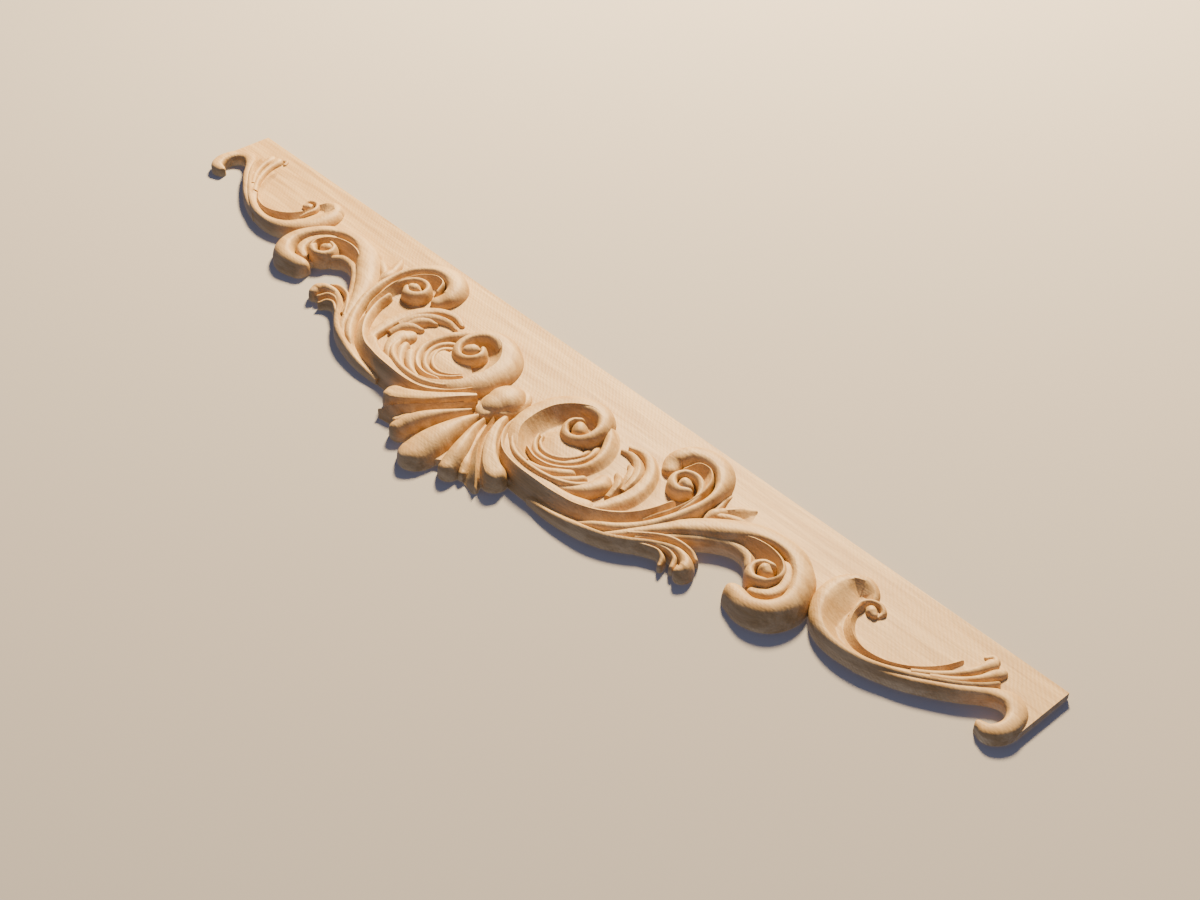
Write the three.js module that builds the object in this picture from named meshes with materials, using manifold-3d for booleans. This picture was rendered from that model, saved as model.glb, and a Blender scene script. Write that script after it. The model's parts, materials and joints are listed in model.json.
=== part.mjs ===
// Carved shell pediment: one board of pale hardwood, sawn to a scrolled outline and carved in relief.
// Its straight edge is below, the shell is above, the flat back stands at Y = 0 and the carving faces -Y.
import * as THREE from "three";
import Module from "manifold-3d";

const wasm = await Module();
wasm.setup();

// Driving dimensions in millimetres
const pedimentWidth = 1000;
const pedimentHeight = 199;
const boardThickness = 6;
const reliefHeight = 14;
const backMountHeight = 60;

// Units of the drawing: thousandths of the width across, millimetres of the real height and relief
const acrossUnit = pedimentWidth / 1000;
const upUnit = pedimentHeight / 199;
const reliefUnit = reliefHeight / 14;

// How finely the solid is faceted
const stepsPerStation = 6;
const facetTurn = 30;
const facetLength = 27;
const flankShares = [1, 0.55];
const narrowFlankShares = [1];
const narrowWidth = 7;
const rootPoints = 2;
const tipAngles = [70];

// How far the foot of a stroke lies below the face of the board, and how deep its root is buried
const footDepth = 0.5;
const buriedDepth = boardThickness / 2;

// Flank shapes: the share of the ridge's height left at a share q of the way out to the foot
const roundPower = 2.4;
const cliffPower = 6;
const hollowPower = 1.7;
const slopePower = 1.2;
const shoulderStart = 0.55;
const shoulderDrop = 0.6;
const shoulderPower = 1.6;
const pastShoulder = (q) => Math.max(0, (q - shoulderStart) / (1 - shoulderStart));
const flanks = {
  full: (q) => Math.sqrt(1 - q ** roundPower),
  cliff: (q) => Math.sqrt(1 - q ** cliffPower),
  soft: (q) => (1 + Math.cos(Math.PI * q)) / 2,
  hollow: (q) => (1 - q) ** hollowPower,
  slope: (q) => (1 - q) ** slopePower,
  shoulder: (q) => 1 - shoulderDrop * pastShoulder(q) ** shoulderPower,
};

// Drawing coordinates: x from the middle, y up from the straight edge, h out from the face of the board
function place(x, y, h) {
  return [x * acrossUnit, -(boardThickness + h), y * upUnit - backMountHeight];
}

// A smooth curve through a stroke's stations, in short steps
function smoothStations(stations) {
  const knots = [0];
  for (let i = 1; i < stations.length; i += 1) {
    const step = Math.hypot(stations[i][0] - stations[i - 1][0], stations[i][1] - stations[i - 1][1]);
    knots.push(knots[i - 1] + Math.sqrt(step));
  }
  const last = stations.length - 1;
  const slope = (i, k) => (stations[i + 1][k] - stations[i][k]) / (knots[i + 1] - knots[i]);
  const tangent = (i, k) => {
    if (i === 0) return slope(0, k);
    if (i === last) return slope(last - 1, k);
    const before = knots[i] - knots[i - 1];
    const after = knots[i + 1] - knots[i];
    return (slope(i - 1, k) * after + slope(i, k) * before) / (before + after);
  };
  const out = [];
  for (let i = 0; i < last; i += 1) {
    const span = knots[i + 1] - knots[i];
    for (let step = 0; step < stepsPerStation; step += 1) {
      const u = step / stepsPerStation;
      const a = 2 * u ** 3 - 3 * u ** 2 + 1;
      const b = u ** 3 - 2 * u ** 2 + u;
      const c = 3 * u ** 2 - 2 * u ** 3;
      const d = u ** 3 - u ** 2;
      out.push(stations[i].map((value, k) => (
        a * value + b * span * tangent(i, k) + c * stations[i + 1][k] + d * span * tangent(i + 1, k)
      )));
    }
  }
  out.push(stations[last]);
  return out;
}

// The steps of a smooth curve with their direction, kept only where it has turned or run on enough
function facetPath(path) {
  const steps = path.map((station, i) => {
    const before = path[Math.max(i - 1, 0)];
    const after = path[Math.min(i + 1, path.length - 1)];
    const direction = new THREE.Vector2(after[0] - before[0], after[1] - before[1]).normalize();
    return { station, direction };
  });
  const kept = [steps[0]];
  let turn = 0;
  let run = 0;
  for (let i = 1; i < steps.length; i += 1) {
    const { station, direction } = steps[i];
    const previous = steps[i - 1];
    turn += Math.acos(Math.min(1, direction.dot(previous.direction)));
    run += Math.hypot(station[0] - previous.station[0], station[1] - previous.station[1]);
    const isLast = i === steps.length - 1;
    if (isLast || turn > THREE.MathUtils.degToRad(facetTurn) || run > facetLength) {
      kept.push(steps[i]);
      turn = 0;
      run = 0;
    }
  }
  return kept;
}

// One stroke of the carving: a ridge with two flanks, swept along its stations, with a rounded tip.
// It stands on the face of the board, goes through the board, or falls the whole way to its back.
// A station is [x, y, ridge height, width of the right flank, width of the left flank], going along it.
function strokeRings(rightFlank, leftFlank, depth, stations) {
  const turned = facetPath(smoothStations(stations));
  const tip = turned[turned.length - 1];
  const tipRadius = (tip.station[3] + tip.station[4]) / 2;
  for (const degrees of tipAngles) {
    const angle = THREE.MathUtils.degToRad(degrees);
    const [x, y, ridge, right, left] = tip.station;
    const out = tipRadius * Math.sin(angle);
    const share = Math.cos(angle);
    const moved = [x + tip.direction.x * out, y + tip.direction.y * out];
    turned.push({ ...tip, station: [...moved, ridge * Math.sqrt(share), right * share, left * share] });
  }
  const root = depth === "on face" ? -buriedDepth : -boardThickness;
  const sink = depth === "whole" ? boardThickness - footDepth : footDepth;
  const widest = Math.max(...stations.map((station) => Math.max(station[3], station[4])));
  const shares = widest < narrowWidth ? narrowFlankShares : flankShares;
  return turned.map(({ station, direction }) => {
    const [x, y, ridge, right, left] = station;
    const rise = ridge * reliefUnit + sink;
    const point = (side, h) => [x + direction.y * side, y - direction.x * side, h];
    const rightPoints = shares.map((q) => point(right * q, rise * flanks[rightFlank](q) - sink));
    const leftPoints = shares.map((q) => point(-left * q, rise * flanks[leftFlank](q) - sink));
    const crest = point(0, rise - sink);
    return [...rightPoints, crest, ...leftPoints.reverse(), point(-left, root), point(right, root)];
  });
}

// A closed solid skinned over rings of points, with both ends filled in
function skin(rings, mirrored) {
  const side = mirrored ? -1 : 1;
  const count = rings[0].length;
  const positions = rings.flat().flatMap(([x, y, h]) => place(side * x, y, h));
  const triangles = [];
  for (let i = 0; i + 1 < rings.length; i += 1) {
    for (let j = 0; j < count; j += 1) {
      const a = i * count + j;
      const b = i * count + ((j + 1) % count);
      triangles.push([a, b, a + count], [b, b + count, a + count]);
    }
  }
  const leftFoot = count - 1 - rootPoints;
  for (const end of [0, rings.length - 1]) {
    const ring = rings[end];
    const right = ring[0];
    const left = ring[leftFoot];
    const width = Math.hypot(left[0] - right[0], left[1] - right[1]);
    const unit = [(left[0] - right[0]) / width, (left[1] - right[1]) / width];
    const outline = ring.map(([x, y, h]) => (
      new THREE.Vector2((x - right[0]) * unit[0] + (y - right[1]) * unit[1], h)
    ));
    const turn = Math.sign(THREE.ShapeUtils.area(outline)) * (end === 0 ? -1 : 1);
    for (const [a, b, c] of THREE.ShapeUtils.triangulateShape(outline, [])) {
      const sameTurn = THREE.ShapeUtils.area([outline[a], outline[b], outline[c]]) * turn > 0;
      const order = sameTurn ? [a, b, c] : [a, c, b];
      triangles.push(order.map((index) => index + end * count));
    }
  }
  return toSolid(positions, triangles);
}

// A solid of the joining library from points and triangles, turned right side out
function toSolid(positions, triangles) {
  let volume = 0;
  for (const corners of triangles) {
    const [a, b, c] = corners.map((index) => new THREE.Vector3().fromArray(positions, index * 3));
    volume += a.dot(b.cross(c));
  }
  const order = volume < 0 ? [0, 2, 1] : [0, 1, 2];
  const triVerts = Uint32Array.from(triangles.flatMap((corners) => order.map((k) => corners[k])));
  const vertProperties = Float32Array.from(positions);
  return new wasm.Manifold(new wasm.Mesh({ numProp: 3, vertProperties, triVerts }));
}

const solids = [];

// A stroke of the carving and its mirror image; one on the middle line stands once
function carve(rightFlank, leftFlank, depth, stations) {
  const rings = strokeRings(rightFlank, leftFlank, depth, stations);
  solids.push(skin(rings, false));
  if (stations.some(([x]) => x !== 0)) {
    solids.push(skin(rings, true));
  }
}

// shell
// Middle lobe
carve("full", "full", "whole", [
  [0, 118, 5, 2, 2], [0, 130, 9, 6, 6], [0, 146, 11.5, 11, 11], [0, 160, 12, 14.5, 14.5],
  [0, 172, 11, 16.5, 16.5], [0, 183, 8.5, 16.5, 16.5],
]);
// Second lobe
carve("full", "full", "whole", [
  [8, 121, 6, 2.5, 2.5], [11.5, 133, 8.5, 4, 4.5], [17.5, 148, 10.8, 6, 7.5],
  [24.5, 161, 11, 8, 9.5], [29.5, 170, 9.5, 9, 10.5], [32, 175.5, 7, 9, 10],
]);
// Third lobe crest
carve("slope", "slope", "whole", [
  [12, 114, 7.5, 3, 3], [21.5, 130, 9.4, 6, 6.5], [29, 141.5, 10, 8, 9], [38, 151.5, 9.8, 9, 11],
  [48.5, 161, 8, 8, 11], [56.5, 168, 5.5, 6, 8.5], [62, 173, 2, 2.5, 3.5],
]);
// Outer lobe
carve("shoulder", "shoulder", "whole", [
  [19, 107, 8, 3, 2.5], [23, 116, 10.5, 4.5, 4], [30, 127.5, 12, 6, 5.5], [39, 138.5, 12.4, 7, 7],
  [50, 148, 12.2, 8, 8.5], [59, 153.5, 11.4, 9, 10.5], [65.5, 156, 10.4, 10.5, 11.5],
]);
// Cabochon plate
carve("cliff", "cliff", "on face", [
  [0, 71, 4, 9, 9], [0, 77, 5, 14.5, 14.5], [0, 86, 5.8, 18, 18], [0, 95, 6.2, 18.6, 18.6],
  [0, 103, 7.2, 17, 17], [0, 108, 8.4, 14, 14], [0, 111, 8.8, 10.5, 10.5],
]);
// Cabochon dome
carve("full", "full", "on face", [
  [0, 74, 7, 6, 6], [0, 79, 11, 12, 12], [0, 87, 13.6, 16.6, 16.6], [0, 95, 14, 16.8, 16.8],
  [0, 102, 13.4, 14, 14],
]);
// big volute
// Volute bowl
carve("full", "hollow", "on face", [
  [72, 128, 8.6, 5, 8], [60, 126, 10.6, 8, 11], [49, 118.5, 11.6, 11, 13], [40, 107.5, 12, 14, 14],
  [36.5, 94.5, 12, 17, 14.5], [36, 80.5, 12, 18, 15], [39, 68, 12, 19, 15],
  [48, 56.5, 12.2, 18, 14], [61, 49, 12.4, 15, 13], [73, 50.5, 12.2, 12, 10],
  [80.5, 57.5, 11.8, 9, 6],
]);
// Volute floor
carve("cliff", "cliff", "on face", [
  [62, 80, 3, 14, 14], [66, 92, 3.4, 19, 19], [74, 100, 3.6, 19, 19], [82, 101, 3.6, 14, 14],
]);
// Volute ribbon
carve("full", "full", "on face", [
  [52, 52.5, 11.5, 4, 6], [62, 49, 12.2, 5, 6], [73, 50.5, 12.2, 8, 5.5],
  [80.5, 57.5, 11.8, 8.5, 5], [83.3, 66.5, 11.3, 7.5, 4.2], [82, 75.5, 10.4, 7, 3.6],
  [77.5, 81, 9.6, 6.5, 3.3], [71, 83.5, 9.2, 6, 3.2], [64.5, 81.3, 9.4, 5.5, 3.2],
  [60.5, 76, 10.2, 5, 3.2], [60.8, 70, 10.8, 5, 3], [64, 66, 11, 4.5, 3],
]);
// Volute eye
carve("full", "full", "on face", [
  [66, 66.5, 10.8, 5, 5], [70, 69.5, 12, 7.2, 7.2], [72.5, 71, 11.5, 6.5, 6.5],
]);
// Stem body
carve("soft", "full", "on face", [
  [30, 111, 6, 6, 7], [45, 129, 7, 6, 9], [68, 138, 7, 6, 9], [95, 139.5, 7, 6, 9],
  [119.5, 136, 7, 6, 9], [139.5, 128, 7, 6, 9],
]);
// Stem ridge a
carve("hollow", "hollow", "on face", [
  [38, 113, 10.5, 4, 3.5], [48, 124, 11.4, 4, 4], [60, 131, 12, 4.5, 4], [72, 133.3, 12, 4.5, 4],
  [85, 133.4, 12, 4.5, 4], [97, 131.5, 11.4, 4.5, 4], [109, 127, 10.4, 4.5, 4],
  [119, 119, 9, 4, 4], [124, 109, 7, 3, 3],
]);
// Stem ridge b
carve("slope", "slope", "whole", [
  [27, 105, 9.5, 4, 3.5], [31, 116, 11, 4, 4], [39, 127, 11.6, 4.5, 5.5], [50, 136, 12, 4.5, 8],
  [63, 140.5, 12.2, 4.5, 9], [79, 142, 12.2, 4.5, 9.5], [96, 141.5, 12, 4.5, 10],
  [112, 140.5, 11.6, 4.5, 11], [125, 138.5, 11.4, 5, 13], [135, 136.5, 11, 6, 14],
  [148, 130.5, 10, 6, 15], [159, 122.5, 9, 6, 15], [168.5, 113, 8.6, 5.5, 14],
  [176, 101.5, 8.6, 5, 13], [181, 90, 9, 4, 12], [183.5, 79, 9, 3.5, 8],
]);
// Ring strand 4
carve("soft", "full", "on face", [
  [72, 46, 5, 4, 4], [88, 54, 6.6, 8, 6], [99.5, 67, 6.8, 10, 6], [106, 83, 6.4, 10, 5],
  [105.5, 98, 6.2, 8, 4.5], [98, 110, 6.2, 5, 4.5], [86, 118.5, 6.6, 4, 4],
  [72, 121, 7.4, 3.5, 3.5], [60, 118, 8, 3, 3],
]);
// Ring strand 3
carve("full", "full", "on face", [
  [94, 74, 4.6, 3, 3], [98.5, 86, 5.8, 3, 3], [97, 98, 6, 3, 3], [89, 108.5, 6, 3, 3],
  [77, 114, 6.2, 3, 3], [65, 113.5, 6.6, 3, 3], [56, 107, 6.8, 2.5, 2.5],
]);
// Ring strand 2
carve("full", "full", "on face", [
  [92, 82, 4.6, 2.5, 2.5], [92.5, 92, 5.2, 2.5, 2.5], [87, 101.5, 5.4, 2.5, 2.5],
  [78, 107.5, 5.4, 2.5, 2.5], [68, 108.5, 5.6, 2.5, 2.5], [59, 104, 5.4, 2, 2],
]);
// leaf lobes beside the volute
// Leaf lobe 1
carve("full", "full", "on face", [
  [72, 128, 6.6, 3, 3], [86, 125, 7, 4, 4], [98, 118, 7.8, 5, 5], [104.5, 112, 7.6, 5, 5],
]);
// Leaf lobe 2
carve("full", "full", "on face", [
  [88, 131, 6, 3, 3], [102, 125, 7, 4, 4], [112.5, 115.5, 8, 5, 5], [116, 109, 7.4, 4.5, 4.5],
]);
// Leaf lobe 3
carve("full", "full", "on face", [
  [104, 132, 6.6, 4, 4], [118, 125, 7.6, 6, 5], [127.5, 113.5, 8.2, 8.5, 7],
  [129.5, 102.5, 7.8, 9, 8], [127.5, 98, 6, 8.5, 8],
]);
// Hook 1
carve("cliff", "soft", "on face", [
  [117.5, 142, 5.8, 4, 4], [133.5, 136, 6.2, 5, 6], [147.5, 124, 6.2, 6, 8],
  [153.5, 108.5, 5.8, 8, 9], [157, 92.5, 5.4, 10, 8], [154.5, 76.5, 5.2, 9.5, 7],
  [147, 62, 5.2, 7.5, 6], [135, 51.5, 5, 6.5, 5], [121, 47.5, 4, 5.5, 4], [110, 51, 2.6, 3.5, 2],
]);
// Hook 2
carve("full", "soft", "on face", [
  [147, 92.5, 5.4, 6, 5], [145.5, 80.5, 6, 7, 5], [138.5, 68, 5.8, 6.5, 5], [128, 60, 4.8, 5.5, 4],
  [117, 57.5, 3.8, 4.5, 3.5], [109, 59.5, 3, 2.5, 2],
]);
// Hook 3
carve("full", "soft", "on face", [
  [142, 90, 4.8, 5, 4], [138.5, 79, 5, 6.5, 4], [132, 71, 4.2, 5.5, 3.5], [127, 68.5, 3.2, 3, 2],
]);
// Hook 4
carve("full", "soft", "on face", [
  [143, 104, 5.4, 5, 4], [140.5, 93.5, 5.8, 7, 4], [134.5, 86, 5, 6, 4],
  [128.5, 83, 3.6, 3.5, 2.5],
]);
// upper volute
// Upper roll
carve("full", "full", "on face", [
  [159.5, 137, 6.8, 4, 4], [175.5, 124, 7.6, 5, 5], [187.5, 108.5, 8.4, 5, 5.5],
  [195.5, 92.5, 10.2, 5, 5.5], [199.5, 76.5, 11, 4.5, 6], [201.5, 60, 11, 4, 5.5],
  [200, 46, 11.6, 4.5, 6.5], [193, 33, 11.8, 5, 9.5], [181, 24, 12.2, 5, 14],
  [166, 22, 12, 6.5, 15], [153.5, 27, 11.6, 8, 13], [147.5, 38, 9.8, 9.5, 10],
  [150.5, 46, 6.4, 8, 8],
]);
// Upper bowl
carve("hollow", "full", "on face", [
  [183.5, 98.5, 7.2, 5, 3], [190, 80.5, 8.4, 6, 2.5], [193, 64, 9.8, 7, 2.5],
  [191.5, 50, 10, 8, 2.5], [186, 37, 9.8, 9, 2.5], [176, 29, 9.6, 9, 2.5],
  [166, 30.5, 9.2, 7, 2.5], [161.5, 40, 7.2, 5, 2.5],
]);
// Upper ring
carve("full", "full", "on face", [
  [192.5, 78.5, 7, 3.5, 3], [194, 64, 9.2, 3.5, 3.5], [190.5, 52, 10, 4, 3.5],
  [183, 44.5, 10.8, 4.5, 3.5], [174.5, 42.5, 11, 4.5, 3.5], [166.5, 46, 11, 4, 4],
  [164, 54, 10.8, 3.5, 5.5], [168.5, 60.5, 10.6, 3.5, 6.5], [176, 62, 10.2, 3.5, 6.5],
  [182, 58, 9.6, 3, 5],
]);
// Upper eye
carve("full", "full", "on face", [
  [171.5, 53, 10.8, 5, 5], [175, 54.5, 12.4, 6.8, 6.8], [177.5, 55, 11.8, 6, 6],
]);
// sprout
// Sprout body
carve("full", "full", "on face", [
  [212, 67.5, 5.8, 3, 3], [212, 61, 6.8, 4.5, 4.5], [213, 54, 6.6, 5, 5],
]);
// Sprout left
carve("full", "full", "on face", [
  [211, 58, 5.6, 3, 3], [208, 48, 4.4, 3, 3], [205, 40, 3.4, 2.5, 2.5], [204, 33, 1.2, 1.5, 1.5],
]);
// Sprout middle
carve("full", "full", "on face", [
  [213, 58, 6.5, 5, 5], [217, 48, 6.8, 6, 6.5], [223, 39, 6.4, 5, 5.5], [227.5, 33, 4.6, 3.5, 3.5],
]);
// Sprout right
carve("full", "full", "on face", [
  [213, 61, 6.2, 4, 4], [223, 54.5, 6.8, 5, 5], [233, 50, 6.2, 4.5, 4.5], [239, 48.5, 4, 2.5, 2.5],
]);
// far scroll
// Far roll
carve("full", "full", "through", [
  [177.5, 132, 5.8, 4, 4], [189.5, 116, 7.6, 6, 5], [201.5, 99.5, 8.8, 10, 6],
  [212.5, 86.5, 10.2, 13, 8], [225.5, 74.5, 11, 15, 9], [239.5, 64, 12, 16, 9],
  [253.5, 56, 11.8, 17, 6], [269.5, 51, 11.8, 15, 4], [286.5, 52, 12, 14.5, 4.5],
  [300, 59.5, 12.6, 14.5, 6], [310.5, 72.5, 12.4, 14, 7], [315.5, 88, 12, 13.5, 7.5],
  [310.5, 102, 11.8, 13, 8], [298.5, 109, 10.8, 10.5, 9], [282.5, 106.5, 8.6, 9.5, 9],
]);
// Far bowl
carve("full", "hollow", "through", [
  [245.5, 64.5, 10, 3, 9], [257.5, 59.5, 10.4, 3, 10], [271.5, 58, 10.4, 3, 10],
  [285.5, 61.5, 10.4, 3.5, 8], [293.5, 68.5, 10.6, 4, 6], [295.5, 77.5, 11.2, 4, 4.5],
  [291, 86, 11.4, 5, 4], [283, 88.5, 11, 5, 4], [276, 84.5, 10.4, 5, 4], [274, 77.5, 10.2, 5, 3.5],
  [277.5, 71, 10.2, 4, 3.5], [284.5, 69.5, 10.6, 3.5, 3],
]);
// Far eye
carve("full", "full", "on face", [
  [278.5, 74.5, 9.6, 5, 5], [281.5, 74.5, 10.6, 6, 6], [284.5, 75.5, 9.6, 5, 5],
]);
// Far crescent
carve("full", "full", "on face", [
  [287.5, 58.5, 8, 4, 4], [299.5, 67.5, 8, 5, 5], [305.5, 79.5, 7.8, 5, 5], [303.5, 91, 7.4, 5, 5],
  [296.5, 96, 6.6, 3, 4],
]);
// Far leaf
carve("hollow", "full", "through", [
  [191.5, 122, 5.6, 3, 3], [201.5, 109, 6, 4, 4], [211.5, 97.5, 5.8, 6, 4.5],
  [222.5, 87, 6.2, 7, 5], [233.5, 78, 6, 8, 5], [244.5, 72, 6, 8, 5], [254.5, 69.5, 6, 7, 6],
  [263.5, 71.5, 6.6, 6, 6], [269.5, 77.5, 6.2, 5, 5],
]);
// tendrils
// Tendril 1
carve("full", "full", "through", [
  [185.5, 124, 7.2, 3, 3], [199.5, 111, 7.4, 3, 3], [209.5, 103.5, 6.8, 3, 3],
  [220.5, 100.5, 6.4, 3, 3], [230.5, 100, 4.4, 3, 3], [236.5, 102, 2.4, 2.5, 2.5],
]);
// Tendril 2
carve("slope", "full", "through", [
  [92, 148.5, -1.5, 4, 3], [108, 149, -0.5, 5, 3], [126, 148.5, 1.5, 6, 3], [145, 146, 5, 6, 3.5],
  [160, 141.5, 7, 5.5, 4], [175, 135.5, 7, 5, 4.5], [190, 126, 7, 4.5, 4.5],
  [204.5, 115, 6.6, 4, 4], [220.5, 107, 6, 4, 4.5], [232.5, 108.5, 5.5, 5, 5], [239, 114, 4, 6, 6],
  [239, 118.5, 2, 6, 6],
]);
// Tendril 3
carve("full", "full", "through", [
  [195.5, 123.5, 5.6, 2.5, 2.5], [206.5, 116.5, 5.6, 2.5, 2.5], [217.5, 112.5, 5, 2.5, 2.5],
  [226.5, 114, 4, 3, 3], [230.5, 120, 2.6, 3, 3],
]);
// Tendril 4
carve("full", "full", "through", [
  [193.5, 127, 5.2, 2.5, 2.5], [203.5, 121.5, 5.2, 2.5, 2.5], [212.5, 118, 4.6, 2.5, 2.5],
  [219.5, 120, 3.6, 3, 3], [222.5, 125, 1.6, 2.5, 2.5],
]);
// end scroll
// End leaf
carve("slope", "full", "through", [
  [354.5, 38.5, 3.8, 4, 3], [349.5, 31, 5.6, 8, 5], [340.5, 28.5, 7.2, 12, 8],
  [332.5, 33, 8.2, 17, 11], [329.5, 44.5, 8.8, 20, 12], [330.5, 57.5, 8.8, 20, 12],
  [335.5, 70.5, 8.6, 17, 10], [344, 81, 8, 14, 8], [356.5, 87.5, 7.4, 11, 5.5],
  [370, 89.5, 7.2, 10, 4], [387, 87, 7, 8.5, 4], [403, 81, 6.8, 7.5, 4], [419, 72.5, 6.6, 6, 4],
  [435, 62, 6.6, 6, 4], [449, 51, 6.4, 5.5, 4], [458, 41, 5.8, 4.5, 4], [462.5, 33, 4.6, 3.5, 3.5],
]);
// End inner rim
carve("slope", "slope", "on face", [
  [352.5, 44.5, 4.8, 3, 3], [352.5, 54, 5, 3.5, 4.5], [358, 65.5, 5.4, 4, 5.5],
  [368, 74, 5.6, 4, 5.5], [382, 78.5, 5.6, 4, 5], [397, 76.5, 5.4, 4, 4.5], [411, 68.5, 4.6, 4, 4],
  [422, 57, 3.8, 4, 3.5], [429.5, 45, 3.2, 3.5, 3], [433, 35, 2.6, 3.5, 3],
]);
// End curl leaf
carve("full", "full", "on face", [
  [350.5, 52.5, 4, 2.5, 2.5], [349.5, 44.5, 4.8, 2.5, 2.5], [353.5, 38.5, 4.8, 2.5, 2.5],
  [360.5, 36, 4.2, 2.5, 2.5], [366.5, 39.5, 3.4, 2.5, 2.5], [366, 44.5, 1.8, 2, 2],
]);
// End curl knob
carve("full", "full", "on face", [
  [356.5, 42.5, 4, 4, 4], [360, 45, 5, 4.5, 4.5], [362.5, 46, 4, 3.5, 3.5],
]);
// End body
carve("soft", "cliff", "on face", [
  [344.5, 60.5, 1.4, 7, 7], [354.5, 78, 1.8, 7, 7], [374, 84.5, 2.6, 6, 7], [399, 80, 4, 7, 7],
  [424, 66, 4.6, 8, 8], [444, 53, 4.4, 8, 8],
]);
// End frond 2
carve("full", "full", "on face", [
  [417, 69, 5, 3.5, 3.5], [430.5, 57, 5, 3.5, 3.5], [440, 44.5, 4.6, 3.5, 3.5],
  [446, 32.5, 4.2, 3.5, 3.5], [449, 21, 3.8, 4, 4],
]);
// End frond 2 hook
carve("full", "full", "on face", [
  [448.5, 22.5, 3, 3, 3], [449.5, 15.5, 2.8, 3, 3], [445.5, 13.5, 2.2, 2.5, 2.5],
  [442.5, 17.5, 1.8, 2, 2],
]);
// End frond 3
carve("full", "full", "on face", [
  [429, 63, 5.4, 3.5, 3.5], [443, 51, 5, 3.5, 3.5], [452.5, 37.5, 4.6, 3.5, 3.5],
  [457.5, 26, 4.2, 3.5, 3.5], [459, 20, 3.2, 3, 3],
]);
// End curl
carve("full", "full", "through", [
  [384, 89, 4.8, 3, 3.5], [402, 84, 4.8, 3, 3.5], [419, 76.5, 5.2, 3, 4], [435, 66.5, 5.6, 3, 4.5],
  [449, 56.5, 5.6, 3.5, 5], [460, 47, 5.4, 4, 5], [469, 41, 4.8, 7, 5], [478, 39, 4.8, 10, 5],
  [486, 43, 5, 10, 5], [490, 51, 5.2, 9, 5], [490, 60, 5, 9, 5], [485, 67, 4.4, 8, 4],
  [478, 68, 2.8, 5, 3],
]);

// Half of the sawn board: square corners at the straight edge, and a scrolled edge under the strokes
const halfBoard = [
  [500, 0], [500, 56], [492, 62], [488, 50], [478, 42], [462, 45], [436, 63], [404, 81], [371, 87],
  [345, 79], [330, 66], [322, 76], [316, 92], [300, 107], [284, 104], [280, 90], [270, 80], [258, 71],
  [240, 76], [222, 89], [206, 104], [222, 103], [236, 108], [238, 118], [228, 117], [214, 114],
  [198, 126], [180, 135], [164, 141], [146, 144], [110, 146], [84, 145], [72, 152], [56, 157],
  [40, 162], [28, 169], [18, 176], [6, 186],
];

function board() {
  const outline = [...halfBoard, ...[...halfBoard].reverse().map(([x, y]) => [-x, y])];
  const positions = [0, -boardThickness].flatMap((h) => outline.flatMap(([x, y]) => place(x, y, h)));
  const contour = outline.map(([x, y]) => new THREE.Vector2(x, y));
  const count = outline.length;
  const faces = THREE.ShapeUtils.triangulateShape(contour, []);
  const turn = Math.sign(THREE.ShapeUtils.area(contour));
  const triangles = [];
  for (const [a, b, c] of faces) {
    const sameTurn = THREE.ShapeUtils.area([contour[a], contour[b], contour[c]]) * turn > 0;
    const [p, q, r] = sameTurn ? [a, b, c] : [a, c, b];
    triangles.push([p, q, r], [p + count, r + count, q + count]);
  }
  for (let i = 0; i < count; i += 1) {
    const next = (i + 1) % count;
    triangles.push([next, i, i + count], [next, i + count, next + count]);
  }
  return toSolid(positions, triangles);
}

const pieces = [board(), ...solids];
const joined = wasm.Manifold.union(pieces);
const mesh = joined.getMesh();
const geometry = new THREE.BufferGeometry();
geometry.setAttribute("position", new THREE.BufferAttribute(Float32Array.from(mesh.vertProperties), 3));
geometry.setIndex(new THREE.BufferAttribute(Uint32Array.from(mesh.triVerts), 1));
geometry.computeVertexNormals();

const beech = new THREE.MeshStandardMaterial({ color: "#c79a6e", roughness: 0.6, metalness: 0 });
const pediment = new THREE.Mesh(geometry, beech);
pediment.name = "carved_pediment";

const group = new THREE.Group();
group.add(pediment);
export default group;
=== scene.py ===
import json
import math

import bmesh
import bpy
from mathutils import Matrix, Vector

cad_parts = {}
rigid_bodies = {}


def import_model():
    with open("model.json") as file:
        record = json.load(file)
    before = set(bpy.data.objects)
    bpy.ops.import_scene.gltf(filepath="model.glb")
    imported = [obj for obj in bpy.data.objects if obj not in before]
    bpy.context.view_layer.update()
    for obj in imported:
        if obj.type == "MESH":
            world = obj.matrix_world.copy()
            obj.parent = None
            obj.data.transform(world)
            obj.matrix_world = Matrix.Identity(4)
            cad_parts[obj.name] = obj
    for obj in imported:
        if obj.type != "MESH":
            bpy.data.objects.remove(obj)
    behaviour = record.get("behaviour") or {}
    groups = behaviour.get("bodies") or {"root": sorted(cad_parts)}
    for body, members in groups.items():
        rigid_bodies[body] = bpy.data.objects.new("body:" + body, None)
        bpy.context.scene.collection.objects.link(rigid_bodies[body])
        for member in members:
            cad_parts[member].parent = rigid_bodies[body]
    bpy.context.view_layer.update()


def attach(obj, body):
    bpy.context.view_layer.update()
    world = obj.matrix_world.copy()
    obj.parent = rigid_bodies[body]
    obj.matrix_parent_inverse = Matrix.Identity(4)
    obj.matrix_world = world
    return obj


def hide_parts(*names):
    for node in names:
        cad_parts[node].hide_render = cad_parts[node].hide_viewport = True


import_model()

# Camera: looks down on the carving from beyond its shell side, past one end, so the board
# crosses the picture from upper left to lower right. Its place and aim come from a fit to the
# board's straight edge, its square ends and matching points on the two halves.
focal_length = 51.39
sensor_width = 36.0
nearest_seen, farthest_seen = 0.05, 20.0
camera_place = Vector((-0.88105, -0.88905, 0.70153))
camera_right = Vector((-0.65942, 0.0, -0.75177))
camera_forward = Vector((0.57454, 0.64492, -0.50396))

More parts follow.
